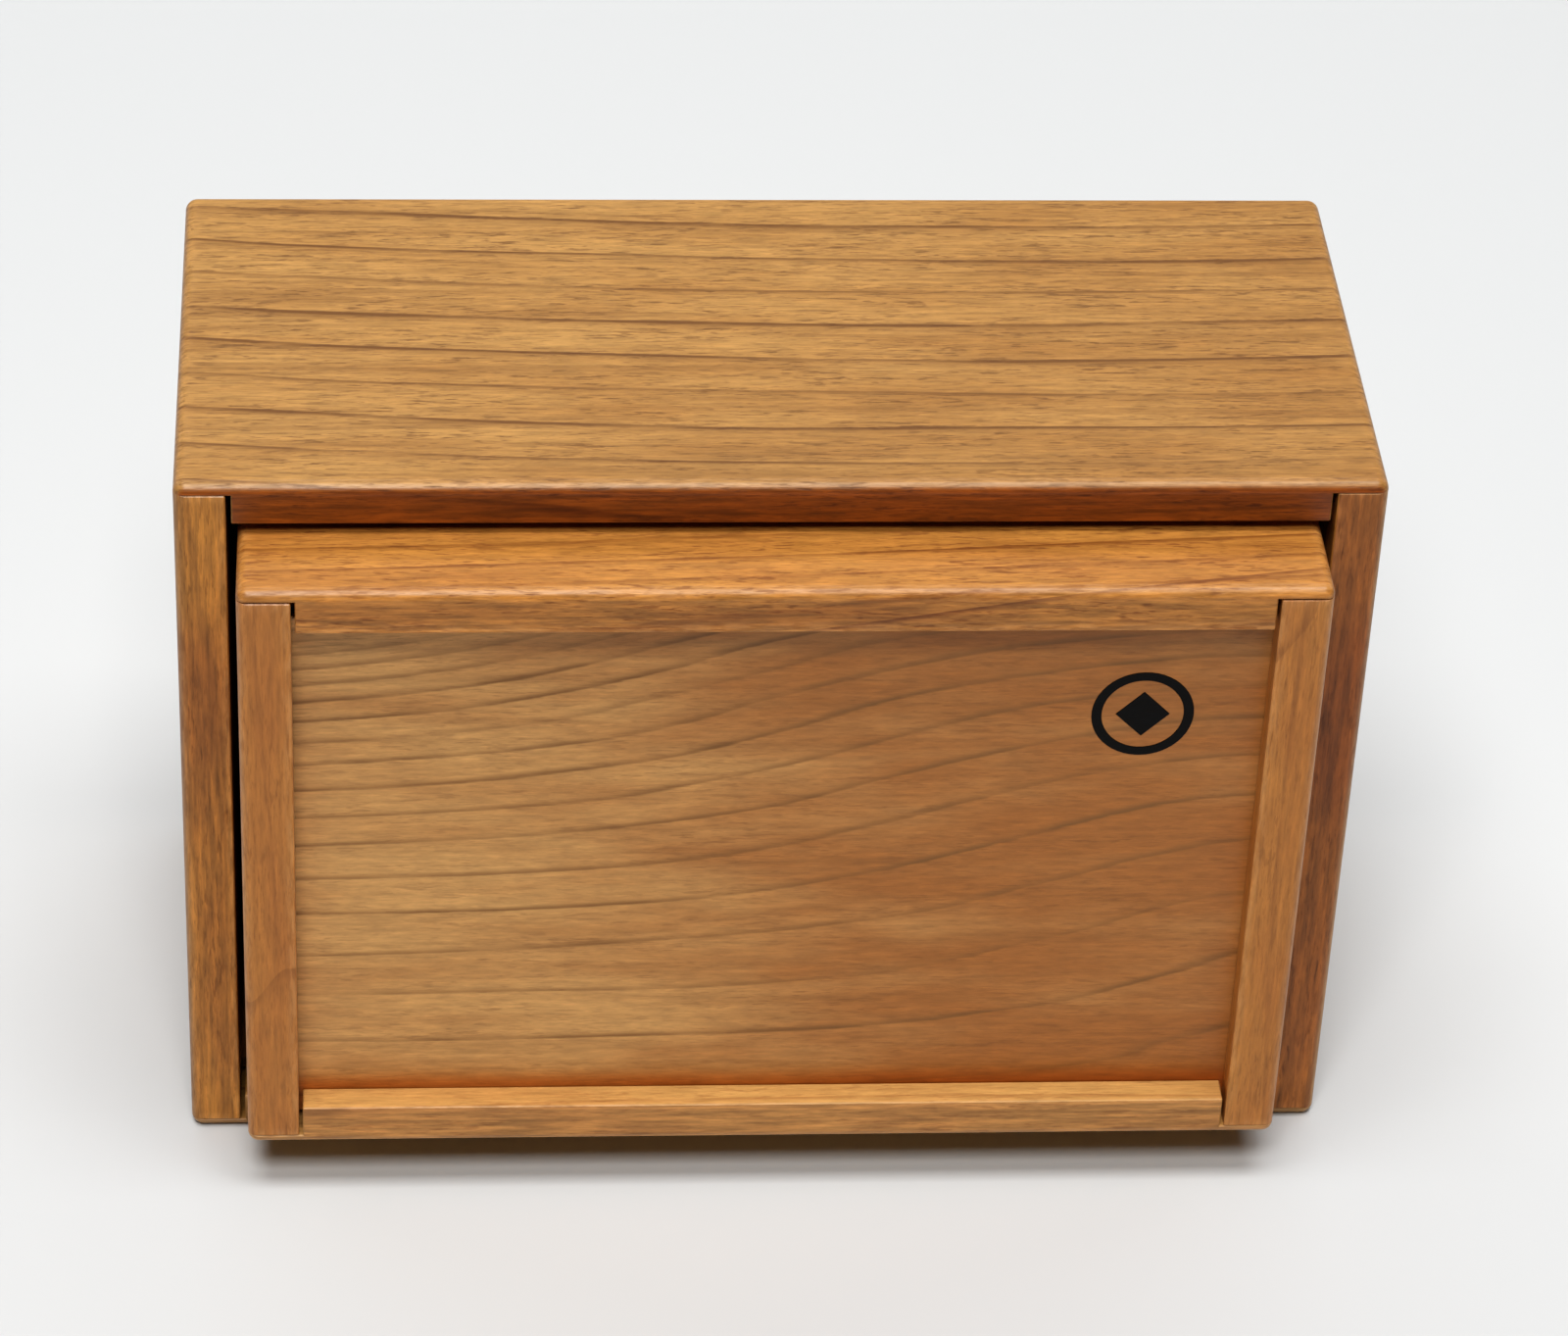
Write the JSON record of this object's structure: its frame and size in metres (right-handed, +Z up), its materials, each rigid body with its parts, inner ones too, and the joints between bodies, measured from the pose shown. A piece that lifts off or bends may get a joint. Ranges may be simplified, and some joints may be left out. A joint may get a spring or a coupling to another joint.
{
  "type": "wooden puzzle box",
  "caption": "Rectangular wooden puzzle box: an inner box with a sliding lid and a lifting front panel slides out of a rounded case once its back panel is shifted.",
  "frame": {"origin": "centre of the case's underside, on the surface that the box stands on", "axes": "+X to the right along the case's length, -Y out of the front where the inner box slides out, +Z up"},
  "size_m": [0.145, 0.077, 0.1],
  "materials": {
    "case_wood": "satin, oiled cherry-like hardwood, golden brown",
    "drawer_wood": "satin, oiled hardwood, warm orange brown",
    "panel_wood": "satin, oiled flat-sawn hardwood, tan with curved growth rings",
    "key_wood": "plain, unfinished darker hardwood",
    "pin_wood": "plain bamboo",
    "magnet_metal": "nickel plated",
    "mark_ink": "matt black"
  },
  "bodies": {
    "case": {"case_top": "case_wood", "case_bottom": "case_wood", "case_left_side": "case_wood", "case_right_side": "case_wood", "case_top_tongues": "key_wood", "case_bottom_tongues": "key_wood", "left_runner": "key_wood", "right_runner": "key_wood", "stop_pins": "pin_wood"},
    "back_panel": {"case_back_panel": "case_wood", "lock_hook": "key_wood"},
    "inner_box": {"drawer_left_side": "drawer_wood", "drawer_right_side": "drawer_wood", "drawer_bottom": "drawer_wood", "drawer_bottom_tongues": "key_wood", "drawer_back": "drawer_wood", "catch_plate": "key_wood", "drawer_magnets": "magnet_metal"},
    "lid": {"lid": "drawer_wood", "lid_left_key": "key_wood", "lid_right_key": "key_wood", "lid_magnets": "magnet_metal"},
    "front_panel": {"front_panel": "panel_wood", "maker_mark": "mark_ink"}
  },
  "joints": [
    {"name": "inner_box_slide", "type": "slide", "parent": "case", "child": "inner_box", "axis": [0, -1, 0], "range_m": [-0.012, 0.03]},
    {"name": "lid_slide", "type": "slide", "parent": "inner_box", "child": "lid", "axis": [0, -1, 0], "range_m": [0, 0.0381]},
    {"name": "front_panel_lift", "type": "slide", "parent": "inner_box", "child": "front_panel", "axis": [0, 0, 1], "range_m": [0, 0.0025]},
    {"name": "back_panel_shift", "type": "slide", "parent": "case", "child": "back_panel", "axis": [1, 0, 0], "range_m": [0, 0.003]}
  ]
}
